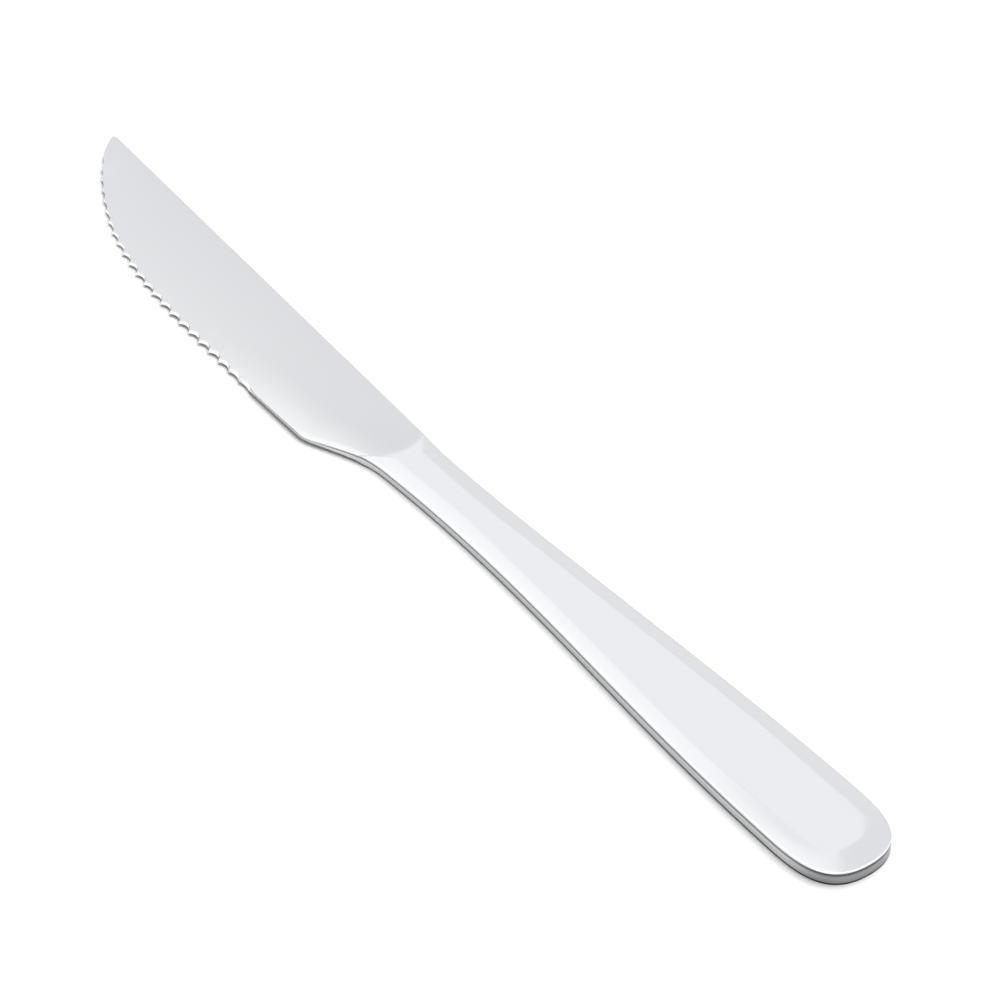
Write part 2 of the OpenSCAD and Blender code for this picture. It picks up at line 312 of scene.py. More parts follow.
class Skin:
    """The knife's skin before it is scalloped, as one closed grid of sections from the point to the end.

    Each section runs round the strip, from the lower side over the upper face, down the spine, back
    under the lower face and up the lower side. Attributes tell the scallops how to move it.
    """

    # Columns of a section: on a broken edge, a rim, the panel between the rims and a narrow side
    EDGE_N = 5
    RIM_N = 10
    PANEL_N = 24
    WALL_N = 3
    # Spacing of the panel's first columns, as a share of the even spacing
    PANEL_CLOSE = 0.55

    # Stations in one scallop, on either side of the wheel's stop, and the distance between these
    SCALLOP_STEPS = 16
    STOP_STEPS = 8
    STOP_GAP = 0.15 * MM
    # How far on the next station is, as a share of the way that these take up
    STOP_CLEAR = 1.1
    # Lengths of the rows of close stations at the point, before and behind the heel corner and at the neck
    POINT_L = 1.2 * MM
    BEFORE_HEEL = 1 * MM
    AFTER_HEEL = 4 * MM
    NECK_L = 14 * MM

    # How far before the blade's end the wheel's arc is looked for on each side, as shares of its radius
    STOP_LOW_REACH = 0.75
    STOP_TOP_REACH = 1
    # Sections lean: where one starts and ends half way along the blade, how far the end is ahead at the heel,
    # and how far behind the wheel's stop they are square again
    BLADE_LOW_X = 60 * MM
    BLADE_TOP_X = 59.5 * MM
    HEEL_LEAN = 1.2 * MM
    SQUARE_L = 12 * MM
    # Lengths over which sections straighten from the wheel's arc, and over which its step is soft
    BEND_L = 8 * MM
    SOFT_L = 1.4 * MM

    # The bevel starts after this many scallops, grows over this many and is found in this many tries
    LEAN_AFTER = 3
    LEAN_OVER = 5
    BEVEL_TRIES = 12
    # Radii of the broken edges at the scallops, at the heel and on the spine, and how soon they change
    SHARP_R = 0.02 * MM
    HEEL_EDGE_R = 0.12 * MM
    SPINE_R = 0.072 * MM
    HEEL_L = 3 * MM
    # The border along the blade's edges: its width, how far it falls at the heel, and its width on the spine
    BORDER_W = 0.9 * MM
    BORDER_D = 0.1 * MM
    SPINE_BORDER_W = 0.2 * MM
    # A border or broken edge takes no more than this share of the knife's width
    ROOM = 0.3
    # The rims begin at this share of the blade and are complete over this one
    RIM_START = 0.94
    RIM_OVER = 0.07
    # Power of a rim's fall, and the share of it that the underside has
    CROWN_POWER = 1.5
    UNDER_SHARE = 0.15
    # How much the rims widen, over a share of the round end, and how much slimmer they are along the handle
    CAP_GAIN = 0.8 * MM
    CAP_GAIN_OVER = 0.7
    SLIM = 0.75 * MM
    SLIM_START = 110 * MM
    SLIM_OVER = 25 * MM
    SLIM_END = 182 * MM
    SLIM_END_OVER = 18 * MM

    # Towards the heel the upper face rolls off over a width to its edge, and is fuller further in
    ROLL_W = 7 * MM
    ROLL_D = 0.46 * MM
    FULL_D = 0.35 * MM
    # Where that begins, over what it grows and where it ends, as shares of the way to the heel
    ROLL_START = 0.62
    ROLL_OVER = 0.38
    ROLL_END = 1.06
    ROLL_END_OVER = 10 * MM

    # How far round the end the side turns away from the light and takes its painted shade, and over what
    # length
    END_SHADE_AFTER = 2 * MM
    END_SHADE_OVER = 9 * MM
    # How far in from the edge a scallop moves the faces, and how far in their slope is tried
    REACH = 4 * MM
    PROBE = 0.2 * MM

    def __init__(self, outline, scallops):
        self.outline = outline
        self.b = outline.b
        self.h = outline.h
        self.scallops = scallops
        self.pitch = (outline.edge_l - scallops.front_l - scallops.heel_l) / scallops.count
        self.row_end = scallops.front_l + scallops.count * self.pitch
        self.corner_run = outline.edge_l - self.b.heel_r
        self.cap_run = np.interp(outline.wide_x, outline.low[:, 0], outline.low_run)
        self.total = outline.low_run[-1]
        self.find_stop()
        self.set_stations()
        self.pair_sides()
        self.set_shares()
        self.set_edges()
        self.face_n = 2 * (self.EDGE_N + 1 + self.RIM_N) + self.PANEL_N - 1
        self.low_col = 2 * self.face_n + self.WALL_N - 1
        self.up = np.arange(1, self.WALL_N + 1) / (self.WALL_N + 1)

    def past_arc(self, points, reach):
        """Number of the first of a side's points that lies past the arc of the grinding wheel."""
        away = np.linalg.norm(points - self.centre, axis=1) - self.b.stop_r
        return np.argmax((points[:, 0] > self.b.blade_l - reach * self.b.stop_r) & (away > 0))

    def find_stop(self):
        """Finds where the arc of the grinding wheel meets the lower side and the spine."""
        outline = self.outline
        self.centre = np.array((self.b.blade_l - self.b.stop_r, self.b.stop_y))
        low = self.past_arc(outline.low, self.STOP_LOW_REACH)
        top = self.past_arc(outline.top, self.STOP_TOP_REACH)
        self.stop_run = outline.low_run[low]
        self.stop_low_x = outline.low[low, 0]
        self.stop_top_x = outline.top[top, 0]

    def set_stations(self):
        """Sets the stations along the lower side, close together where the shape changes fast."""
        front_l = self.scallops.front_l
        turns = np.arange(self.scallops.count * self.SCALLOP_STEPS) / self.SCALLOP_STEPS
        near = self.STOP_GAP * np.arange(-self.STOP_STEPS, self.STOP_STEPS + 1)
        heel_start = self.corner_run - self.BEFORE_HEEL
        heel_end = self.corner_run + self.AFTER_HEEL
        neck_end = self.stop_run + self.NECK_L
        self.stop_half = near[-1]
        # Where each row of stations starts and ends, and the distance between its stations in millimetres
        rows = [spaced(start, end, gap * MM) for start, end, gap in (
            (0, self.POINT_L, 0.12),
            (self.POINT_L, front_l, 0.35),
            (self.row_end, heel_start, 0.5),
            (heel_start, heel_end, 0.15),
            (heel_end, self.stop_run + near[0], 0.35),
            (self.stop_run + self.STOP_CLEAR * near[-1], neck_end, 0.4),
            (neck_end, self.cap_run, 1.3),
            (self.cap_run, self.total, 0.3),
        )]
        scalloped = front_l + self.pitch * turns
        self.runs = np.sort(np.concatenate([*rows, scalloped, self.stop_run + near, [self.total]]))

    def pair_sides(self):
        """Pairs each station with a point across the knife: by distance, and by length on the round end."""
        b, outline, runs = self.b, self.outline, self.runs
        self.low, self.low_out = outline.place(outline.low, outline.low_run, runs, 1)
        self.low_out[-1] = (1, 0)
        self.x = self.low[:, 0]
        square_x = self.stop_low_x + self.SQUARE_L
        pairs = np.array((
            (0, b.point_r),
            (self.BLADE_LOW_X, self.BLADE_TOP_X),
            (b.heel_x, b.heel_x + self.HEEL_LEAN),
            (self.stop_low_x, self.stop_top_x),
            (square_x, square_x),
            (outline.wide_x, outline.wide_x),
        ))
        top_x = np.interp(self.x, pairs[:, 0], pairs[:, 1])
        top_runs = np.interp(top_x, outline.top[:, 0], outline.top_run)
        self.on_cap = runs >= self.cap_run
        top_cap = np.interp(outline.wide_x, outline.top[:, 0], outline.top_run)
        share = (runs[self.on_cap] - self.cap_run) / (self.total - self.cap_run)
        top_runs[self.on_cap] = top_cap + share * (outline.top_run[-1] - top_cap)
        self.top, self.top_out = outline.place(outline.top, outline.top_run, top_runs, -1)
        self.top_out[-1] = (1, 0)
        self.width = np.linalg.norm(self.top - self.low, axis=1)
        self.ground = runs < self.stop_run

    def set_shares(self):
        """Sets how far each section takes part in what changes along the knife, from 0 to 1."""
        b, x, runs = self.b, self.x, self.runs
        off_stop = np.abs(runs - self.stop_run)
        self.bend = 1 - eased(off_stop, self.stop_half, self.BEND_L)
        self.polish = eased(runs, self.stop_run - self.SOFT_L / 2, self.SOFT_L)
        lean_start = self.scallops.front_l + self.LEAN_AFTER * self.pitch
        lean_on = eased(runs, lean_start, self.LEAN_OVER * self.pitch)
        self.slope = math.tan(self.scallops.lean) * lean_on * (1 - eased(runs, self.row_end, self.pitch / 2))
        self.heel_on = eased(runs, self.corner_run - self.BEFORE_HEEL, self.HEEL_L)
        self.rim_on = eased(x, self.RIM_START * b.blade_l, self.RIM_OVER * b.blade_l)
        self.round_end = eased(runs, self.cap_run + self.END_SHADE_AFTER, self.END_SHADE_OVER)
        roll_begun = eased(x, self.ROLL_START * b.heel_x, self.ROLL_OVER * b.heel_x)
        self.roll_on = roll_begun * (1 - eased(x, self.ROLL_END * b.heel_x, self.ROLL_END_OVER))

    def set_edges(self):
        """Sets the radii of the broken edges and the widths and falls of the rims, section by section."""
        h, x, on = self.h, self.x, self.rim_on
        along = np.clip((x - self.b.blade_l) / (h.knife_l - self.b.blade_l), 0, 1)
        low_r = self.SHARP_R + (self.HEEL_EDGE_R - self.SHARP_R) * self.heel_on
        low_r = low_r + (h.edge_r - self.HEEL_EDGE_R) * on
        top_r = self.SPINE_R + (h.edge_r - self.SPINE_R) * on
        gain = eased(self.runs, self.cap_run, self.CAP_GAIN_OVER * (self.total - self.cap_run))
        slim = eased(x, self.SLIM_START, self.SLIM_OVER) * (1 - eased(x, self.SLIM_END, self.SLIM_END_OVER))
        rim_w = (h.rim_neck_w + (h.rim_end_w - h.rim_neck_w) * along) * on
        rim_w = rim_w + self.CAP_GAIN * gain - self.SLIM * slim
        self.rim_d = (h.rim_neck_d + (h.rim_end_d - h.rim_neck_d) * along) * on
        room = np.where(self.on_cap, np.inf, self.ROOM * self.width)
        self.low_w = np.minimum(np.maximum(rim_w, self.BORDER_W), room)
        self.top_w = np.minimum(np.maximum(rim_w, self.SPINE_BORDER_W), room)
        self.low_r = np.minimum(low_r, room)
        self.top_r = np.minimum(top_r, room)

    def insets(self, r, w):
        """Insets of a side's columns from the outer edge, round the broken edge and over the rim."""
        turn = np.radians(np.linspace(90, 0, self.EDGE_N + 1))[None]
        share = np.linspace(0, 1, self.RIM_N + 1)[None, 1:]
        r, w = r[:, None], w[:, None]
        return np.concatenate([r * (1 - np.sin(turn)), r + w * share], 1)

    def fall(self, inset, r, w, d):
        """How far a rim has fallen at an inset from the outer edge, with the broken edge."""
        r, w, d = r[:, None], w[:, None], d[:, None]
        crown = d * np.clip((r + w - inset) / w, 0, 1)**self.CROWN_POWER
        return crown + r - np.sqrt(r**2 - np.clip(r - inset, 0, r)**2)

    def falls(self, insets, widths, depths):
        """How far a face has fallen at its insets from the lower and the upper side."""
        return sum(self.fall(*row) for row in zip(insets, (self.low_r, self.top_r), widths, depths))

    def roll_fall(self, xy):
        """How far the upper face rolls off towards the heel's edge, less what it is fuller by."""
        away = np.linalg.norm(xy - self.low[:, None], axis=2)
        fuller = self.FULL_D * np.maximum(1 - away / np.maximum(self.width, self.ROLL_W)[:, None], 0)**2
        rolled = self.ROLL_D * np.maximum(1 - away / self.ROLL_W, 0)**2
        return self.roll_on[:, None] * (rolled - fuller)

    def bevel_w(self):
        """How far the bevel moves the upper face's border inwards, found by closing in on it."""
        edge_z = self.outline.strip_t(self.x) / 2 - self.outline.edge_half(self.x)
        bevel = np.zeros(len(self.runs))
        for _ in range(self.BEVEL_TRIES):
            p = self.low - bevel[:, None] * self.low_out
            bevel = self.slope * (self.outline.face_z(p[:, 0], p[:, 1], self.ground, 1) - edge_z)
        return bevel

    @staticmethod
    def side_y(points, x):
        """Height of a side of the outline at a distance from the point, and the cosine of its slope."""
        y = np.interp(x, points[:, 0], points[:, 1])
        ahead = np.interp(x + MM / 2, points[:, 0], points[:, 1])
        behind = np.interp(x - MM / 2, points[:, 0], points[:, 1])
        return y, MM / np.hypot(MM, ahead - behind)

    def plan(self, bevel):
        """Places of one face's columns in plan, and their insets from the lower and the upper side."""
        low_in, top_in = self.insets(self.low_r, self.low_w), self.insets(self.top_r, self.top_w)
        low_cols = self.low[:, None] - (bevel[:, None] + low_in)[:, :, None] * self.low_out[:, None]
        top_cols = (self.top[:, None] - top_in[:, :, None] * self.top_out[:, None])[:, ::-1]
        start, end = low_cols[:, -1:], top_cols[:, :1]
        share = (np.arange(1, self.PANEL_N) / self.PANEL_N)[None]
        share = share * (self.PANEL_CLOSE + (1 - self.PANEL_CLOSE) * share)
        xy = np.concatenate([low_cols, start + share[:, :, None] * (end - start), top_cols], 1)

        # The section at the wheel's stop is bent to the arc, and its neighbours follow it less and less
        stop = int(np.argmin(np.abs(self.runs - self.stop_run)))
        rise_2 = (xy[stop, :, 1] - self.centre[1])**2
        arc_x = self.centre[0] + np.sqrt(np.maximum(self.b.stop_r**2 - rise_2, 0))
        xy[:, :, 0] += self.bend[:, None] * (arc_x - xy[stop, :, 0])[None]

        # Away from the bend one side's columns count as a metre from the other side, past its rim
        far = np.ones((len(self.runs), self.face_n - low_in.shape[1]))
        y_low, cos_low = self.side_y(self.outline.low, xy[:, :, 0])
        y_top, cos_top = self.side_y(self.outline.top, xy[:, :, 0])
        bent = self.bend[:, None] > 0
        low_inset = np.where(bent, (xy[:, :, 1] - y_low) * cos_low, np.concatenate([low_in, far], 1))
        top_inset = np.where(bent, (y_top - xy[:, :, 1]) * cos_top, np.concatenate([far, top_in[:, ::-1]], 1))
        return xy, (low_inset, top_inset)

    def face(self, side):
        """Points of the upper face, or of the lower one where side is -1."""
        upper = side > 0
        none = np.zeros(len(self.runs))
        xy, insets = self.plan(self.bevel_w() if upper else none)
        x, y = xy[:, :, 0], xy[:, :, 1]
        borders = (none + self.BORDER_W, none + self.BORDER_W)
        ground_fall = self.falls(insets, borders, (self.BORDER_D * self.heel_on, none))
        ground_fall = ground_fall + (self.roll_fall(xy) if upper else 0)
        strip_fall = self.falls(insets, (self.low_w, self.top_w), (self.rim_d, self.rim_d))
        strip_fall = strip_fall * (1 if upper else self.UNDER_SHARE)
        ground_z = side * self.outline.face_z(x, y, True, side) - ground_fall
        strip_z = side * self.outline.face_z(x, y, False, side) - strip_fall
        polish = self.polish[:, None]
        z = side * (np.minimum(ground_z, strip_z) * (1 - polish) + strip_z * polish)
        return np.concatenate([xy, z[:, :, None]], 2)

    def wall(self, start, end):
        """Columns of a narrow side between two borders."""
        return start[:, None] + self.up[None, :, None] * (end - start)[:, None]

    def grid(self):
        """Points of all sections."""
        upper, lower = self.face(1), self.face(-1)
        return np.concatenate([
            upper,
            self.wall(upper[:, -1], lower[:, -1]),
            lower[:, ::-1],
            self.wall(lower[:, 0], upper[:, 0]),
        ], 1)

    def pull_and_rise(self, grid):
        """How far each point follows the scallops, and how its height changes as it moves inwards."""
        m = grid.shape[1]
        spine_col, wall_col = self.face_n, self.low_col + 1
        edge_col = np.where(np.arange(m) < spine_col, 0, self.low_col)
        away = np.linalg.norm(grid[:, :, :2] - grid[:, edge_col, :2], axis=2)
        pull = np.clip(1 - away / self.REACH, 0, 1)**2
        pull[:, wall_col:] = 1
        pull[:, spine_col:spine_col + self.WALL_N] = 0

        moved = grid[:, :, :2] - self.PROBE * self.low_out[:, None]
        side = np.where(np.arange(m) > spine_col + self.WALL_N // 2, -1, 1)[None]
        before, after = (self.outline.face_z(p[:, :, 0], p[:, :, 1], self.ground[:, None], side)
                         for p in (grid, moved))
        rise = (after - before) / self.PROBE
        rise[:, wall_col:] = rise[:, self.low_col:wall_col] * (1 - self.up) + rise[:, :1] * self.up
        return pull, rise

    def finishes(self, m):
        """Finish of each face of the grid, by the stations and columns that it lies between."""
        wheel = np.where(self.polish[:-1] < 1, GROUND, POLISHED)
        zone = np.repeat(wheel[:, None], m, axis=1)
        zone[:, self.face_n - 1:self.face_n + self.WALL_N] = BLANKED
        zone[:, self.low_col:] = BLANKED
        zone[self.runs[:-1] < self.row_end, self.low_col:] = BEVEL
        return zone.reshape(-1).tolist()

    def point_faces(self, m):
        """Faces that close the point's end: strips across it, and one on each narrow side."""
        strips = [[j, j + 1, self.low_col - 1 - j, self.low_col - j] for j in range(self.face_n - 1)]
        spine_side = list(range(self.face_n - 1, self.face_n + self.WALL_N + 1))
        edge_side = list(range(self.low_col, m)) + [0]
        return strips + [spine_side, edge_side]

    def mesh(self):
        """The skin as a mesh with its attributes, in the frame of the part."""
        grid = self.grid()
        n, m = grid.shape[:2]
        pull, rise = self.pull_and_rise(grid)
        side_share = np.concatenate([np.ones(self.face_n), self.up[::-1], np.zeros(self.face_n), self.up])
        # The part's origin is under the middle of the outline
        grid[:, :, 0] -= self.h.knife_l / 2
        grid[:, :, 1] += (self.b.heel_y - self.b.point_y) / 2

        index = np.arange(n * m).reshape(n, m)
        after = np.roll(index, -1, axis=1)
        quads = np.stack([index[:-1], index[1:], after[1:], after[:-1]], 2).reshape(-1, 4)
        closing = self.point_faces(m)
        mesh = bpy.data.meshes.new(NODE)
        mesh.from_pydata(grid.reshape(-1, 3).tolist(), [], quads.tolist() + closing)
        for name, values in (
            ("edge_run", np.repeat(self.runs, m)),
            ("edge_pull", pull.reshape(-1)),
            ("edge_rise", rise.reshape(-1)),
            ("polish", np.repeat(self.polish, m)),
            # How far round the end the narrow side takes its painted shade
            ("round_end", np.repeat(self.round_end, m)),
            # How far up a narrow side a point is, which places its bands of painted shade
            ("side_share", np.tile(side_share, n)),
        ):
            mesh.attributes.new(name, "FLOAT", "POINT").data.foreach_set("value", values.astype(np.float32))
        out = np.concatenate([np.repeat(self.low_out, m, axis=0), np.zeros((n * m, 1))], 1)
        mesh.attributes.new("edge_out", "FLOAT_VECTOR", "POINT").data.foreach_set("vector", out.reshape(-1))
        finish = self.finishes(m) + [BLANKED] * len(closing)
        mesh.attributes.new("finish", "INT", "FACE").data.foreach_set("value", finish)
        mesh.update()
        return mesh


def add(tree, kind, inputs=None, **settings):
    """Adds a node with its settings, and sets or links its inputs by name or number."""
    node = tree.nodes.new(kind)
    for name, value in settings.items():
        setattr(node, name, value)
    for key, value in (inputs or {}).items():
        value = getattr(value, "socket", value)
        if isinstance(value, bpy.types.NodeSocket):
            tree.links.new(value, node.inputs[key])
        else:
            node.inputs[key].default_value = value
    return node


class Term:
    """A number in a node tree. Whatever is worked out with it adds the nodes that do so."""

    def __init__(self, tree, socket):
        self.tree = tree
        self.socket = socket

    def made(self, operation, *terms):
        """What an operation makes of terms, in their order."""
        node = add(self.tree, "ShaderNodeMath", dict(enumerate(terms)), operation=operation)
        return Term(self.tree, node.outputs[0])

    def step(self, operation, *others):
        """What an operation makes of this term and others."""
        return self.made(operation, self, *others)

    def __add__(self, other):
        return self.step("ADD", other)

    def __sub__(self, other):
        return self.step("SUBTRACT", other)

    def __rsub__(self, other):
        return self.made("SUBTRACT", other, self)

    def __mul__(self, other):
        return self.step("MULTIPLY", other)

    def __truediv__(self, other):
        return self.step("DIVIDE", other)

    def at_least(self, other):
        """The greater of both."""
        return self.step("MAXIMUM", other)

    def at_most(self, other):
        """The smaller of both."""
        return self.step("MINIMUM", other)

    def root(self):
        """Its square root."""
        return self.step("SQRT")

    def eased(self, start, end, low, high):
        """A value that eases from low to high while the term goes from start to end."""
        node = add(self.tree, "ShaderNodeMapRange",
                   {"Value": self, "From Min": start, "From Max": end, "To Min": low, "To Max": high},
                   interpolation_type="SMOOTHSTEP")
        return Term(self.tree, node.outputs[0])


def fill_ramp(ramp, stops):
    """Gives a colour ramp its stops, each a place and a linear colour."""
    points = ramp.color_ramp.elements
    while len(points) < len(stops):
        points.new(1.0)
    for point, (at, shade) in zip(points, stops):
        point.position = at
        point.color = shade


def linear(code):
    """A linear colour from an sRGB hex value."""
    parts = [int(code[i:i + 2], 16) / 255 for i in (1, 3, 5)]
    return tuple(c / 12.92 if c <= 0.04045 else ((c + 0.055) / 1.055)**2.4 for c in parts) + (1.0,)


def scallop_shift(tree, source):
    """The way that each point moves as the scallops are ground into the edge."""
    given = {socket.name: Term(tree, socket) for socket in source.outputs}
    for name in ("run", "pull", "rise"):
        stored = add(tree, "GeometryNodeInputNamedAttribute", {"Name": f"edge_{name}"}, data_type="FLOAT")
        given[name] = Term(tree, stored.outputs["Attribute"])
    # Which scallop a point is in
    turns = (given["run"] - given["Start"]) / given["Pitch"]
    index = turns.step("FLOOR")
    # Depth of that scallop: they deepen behind the point and fade out before the heel
    fade = ((given["Count"] - 1.0 - index) / given["Shallow count"]).at_most(1.0)
    fade_scale = given["Shallow share"] + (1.0 - given["Shallow share"]) * fade
    lead = (index / given["Lead count"]).at_most(1.0)
    lead_scale = given["Lead share"] + (1.0 - given["Lead share"]) * (lead * lead)
    deep = given["Depth"] * (fade_scale * lead_scale)
    # Radius of the round wheel that is as deep at the scallop's middle, and depth of its arc at the point
    half = given["Pitch"] * 0.5
    radius = (half * half + deep * deep) / (deep * 2.0)
    off = (turns - index - 0.5) * given["Pitch"]
    arc = (radius * radius - off * off).root() - (radius - deep)
    # Only inside the row, and less and less away from the edge
    inside = turns.step("GREATER_THAN", 0.0) * turns.step("LESS_THAN", given["Count"])
    inward = arc * inside * given["pull"]
    out = add(tree, "GeometryNodeInputNamedAttribute", {"Name": "edge_out"}, data_type="FLOAT_VECTOR")
    shift = add(tree, "ShaderNodeVectorMath", {0: out.outputs["Attribute"], "Scale": inward * -1.0},
                operation="SCALE")
    lift = add(tree, "ShaderNodeCombineXYZ", {"Z": inward * given["rise"]})
    both = add(tree, "ShaderNodeVectorMath", {0: shift.outputs[0], 1: lift.outputs[0]}, operation="ADD")
    return both.outputs[0]


def scallop_settings(scallops, pitch):
    """The inputs of the scallops' Geometry Nodes, by name."""
    return {
        "Start": scallops.front_l,
        "Pitch": pitch,
        "Depth": scallops.depth,
        "Count": scallops.count,
        "Shallow count": scallops.fade_count,
        "Shallow share": scallops.fade_share,
        "Lead count": scallops.lead_count,
        "Lead share": scallops.lead_share,
        "Sharp angle": math.radians(SHARP_DEGREES),
    }


def scallop_tree(names, materials):
    """Geometry Nodes that press a row of round scallops into the cutting edge and share out the finishes."""
    tree = bpy.data.node_groups.new("Scalloped edge", "GeometryNodeTree")
    face = tree.interface
    face.new_socket("Geometry", in_out="INPUT", socket_type="NodeSocketGeometry")
    for name in names:
        face.new_socket(name, in_out="INPUT", socket_type="NodeSocketFloat")
    face.new_socket("Geometry", in_out="OUTPUT", socket_type="NodeSocketGeometry")
    source = add(tree, "NodeGroupInput")

    pressed = add(tree, "GeometryNodeSetPosition",
                  {"Geometry": source.outputs["Geometry"], "Offset": scallop_shift(tree, source)})
    closed = add(tree, "GeometryNodeMergeByDistance", {"Geometry": pressed.outputs[0], "Distance": WELD})
    smooth = add(tree, "GeometryNodeSetShadeSmooth", {"Geometry": closed.outputs[0], "Shade Smooth": True},
                 domain="FACE")
    turn = add(tree, "GeometryNodeInputMeshEdgeAngle")
    keen = add(tree, "ShaderNodeMath", {0: turn.outputs[0], 1: source.outputs["Sharp angle"]},
               operation="GREATER_THAN")
    sharp = add(tree, "GeometryNodeSetShadeSmooth",
                {"Geometry": smooth.outputs[0], "Selection": keen.outputs[0], "Shade Smooth": False},
                domain="EDGE")
    geometry = add(tree, "GeometryNodeRealizeInstances", {0: sharp.outputs[0]}).outputs[0]
    finish = add(tree, "GeometryNodeInputNamedAttribute", {"Name": "finish"}, data_type="INT")
    for number, material in enumerate(materials):
        chosen = add(tree, "FunctionNodeCompare", {2: finish.outputs["Attribute"], 3: number},
                     data_type="INT", operation="EQUAL")
        painted = add(tree, "GeometryNodeSetMaterial",
                      {"Geometry": geometry, "Selection": chosen.outputs[0], "Material": material})
        geometry = painted.outputs[0]
    add(tree, "NodeGroupOutput", {0: geometry})
    return tree


# Roughness of the polished finish, where a noise texture's values lie, and the height of the lines' relief
POLISHED_ROUGHNESS = 0.07
NOISE_LOW = 0.3
NOISE_HIGH = 0.7
RELIEF = 0.01 * MM
# Shares of the way up a narrow side where its painted contact shadow ends and its painted shade under the
# upper edge begins, each over a way
PAINTED_SHADOW_BAND = (0.08, 0.17)
PAINTED_SHADE_BAND = (0.68, 0.82)


def new_material(name):
    """A material without nodes, and its tree."""
    material = bpy.data.materials.new(name)
    material.use_nodes = True
    material.node_tree.nodes.clear()
    return material, material.node_tree


def painted_shade_bands(tree, code, painted_shadow_low, painted_shade_up):
    """A side's colour by the way up it: a band of painted contact shadow along its lower edge, and one of
    painted shade along its upper one.
    """
    up = add(tree, "ShaderNodeAttribute", attribute_name="side_share")
    ramp = add(tree, "ShaderNodeValToRGB", {"Fac": up.outputs["Fac"]})
    stops = ((0.0, painted_shadow_low), (PAINTED_SHADOW_BAND[0], painted_shadow_low), (PAINTED_SHADOW_BAND[1], code), (PAINTED_SHADE_BAND[0], code),
             (PAINTED_SHADE_BAND[1], painted_shade_up), (1.0, painted_shade_up))
    fill_ramp(ramp, [(at, linear(shade)) for at, shade in stops])
    return ramp.outputs[0]


def steel(name, code, roughness, spread, grain, bump, polished=None, painted_shade=None, painted_end_shade=None):
    """A stainless steel with fine lines, whose grain is their size along X, Y and Z in millimetres.

    They vary its roughness by a spread. Polished is the colour and roughness that it passes into where it
    is polished. The two shade colours are painted shade on a blanked side: a contact shadow along its lower
    edge and a dark reflection along its upper one. The end shade is painted shade that this side is
    multiplied by round the handle's end, where it faces away from the tent.
    """
    material, tree = new_material(name)
    place = add(tree, "ShaderNodeTexCoord")
    scale = add(tree, "ShaderNodeMapping",
                {"Vector": place.outputs["Object"], "Scale": tuple(1 / (g * MM) for g in grain)})
    lines = add(tree, "ShaderNodeTexNoise",
                {"Vector": scale.outputs[0], "Scale": 1.0, "Detail": 3.0, "Roughness": 0.6})
    rough = add(tree, "ShaderNodeMapRange",
                {"Value": lines.outputs[0], "From Min": NOISE_LOW, "From Max": NOISE_HIGH,
                 "To Min": roughness - spread, "To Max": roughness + spread})
    relief = add(tree, "ShaderNodeBump", {"Height": lines.outputs[0], "Strength": bump, "Distance": RELIEF})
    base, dull = linear(code), rough.outputs[0]
    # Painted shade: a contact shadow along a blanked side's lower edge and a dark reflection along its upper
    # one
    if painted_shade:
        base = painted_shade_bands(tree, code, *painted_shade)
    # Painted shade: the side is multiplied darker round the handle's end
    if painted_end_shade:
        share = add(tree, "ShaderNodeAttribute", attribute_name="round_end").outputs["Fac"]
        base = add(tree, "ShaderNodeMix", {0: share, 6: base, 7: linear(painted_end_shade)}, data_type="RGBA",
                   blend_type="MULTIPLY").outputs[2]
    if polished:
        share = add(tree, "ShaderNodeAttribute", attribute_name="polish").outputs["Fac"]
        base = add(tree, "ShaderNodeMix", {0: share, 6: base, 7: linear(polished[0])},
                   data_type="RGBA").outputs[2]
        dull = add(tree, "ShaderNodeMix", {0: share, 2: dull, 3: polished[1]}).outputs[0]
    shader = add(tree, "ShaderNodeBsdfPrincipled",
                 {"Base Color": base, "Metallic": 1.0, "Roughness": dull, "Normal": relief.outputs[0]})
    add(tree, "ShaderNodeOutputMaterial", {"Surface": shader.outputs[0]})
    return material


def ground_steel(colours):
    """The blade's faces."""
    # Stainless knife steel, ground across on a wheel: fine lines that the eye sees as a soft satin sheen.
    # A wheel of middle grit leaves lines less than 0.1 mm wide, which are drawn 0.15 mm wide to show at all.
    return steel("ground stainless steel", colours.ground, roughness=0.25, spread=0.004, grain=(0.15, 4, 4),
                 bump=0.006, polished=(colours.polished, POLISHED_ROUGHNESS))


def polished_steel(colours):
    """The handle's faces and rims."""
    # Stainless steel strip, buffed along its length: a mirror that keeps faint lines, drawn 0.2 mm apart.
    return steel("polished stainless steel", colours.polished, roughness=POLISHED_ROUGHNESS, spread=0.01,
                 grain=(6, 0.2, 6), bump=0.01)


def blanked_steel(colours):
    """The narrow sides."""
    # Stainless steel strip, sheared by the blanking die: dull and streaked along the side. A dark band of
    # painted contact shadow runs by the table, and a fainter band of painted shade under the broken upper
    # edge. The streaks are 0.12 mm high.
    painted_shade = (colours.painted_shadow_low, colours.painted_shade_up)
    # Painted shade also darkens the side round the handle's end
    return steel("blanked stainless steel", colours.blanked, roughness=0.25, spread=0.05,
                 grain=(6, 0.25, 0.12), bump=0.25, painted_shade=painted_shade, painted_end_shade=colours.painted_end_shade)


def bevelled_steel(colours):
    """The scallops' bevel."""
    # Stainless knife steel, fresh from the profiled wheel that cuts the scallops: bright, with lines 0.1 mm
    # wide that run up the bevel.
    return steel("bevelled stainless steel", colours.bevel, roughness=0.22, spread=0.03, grain=(0.1, 2, 2),
                 bump=0.05)


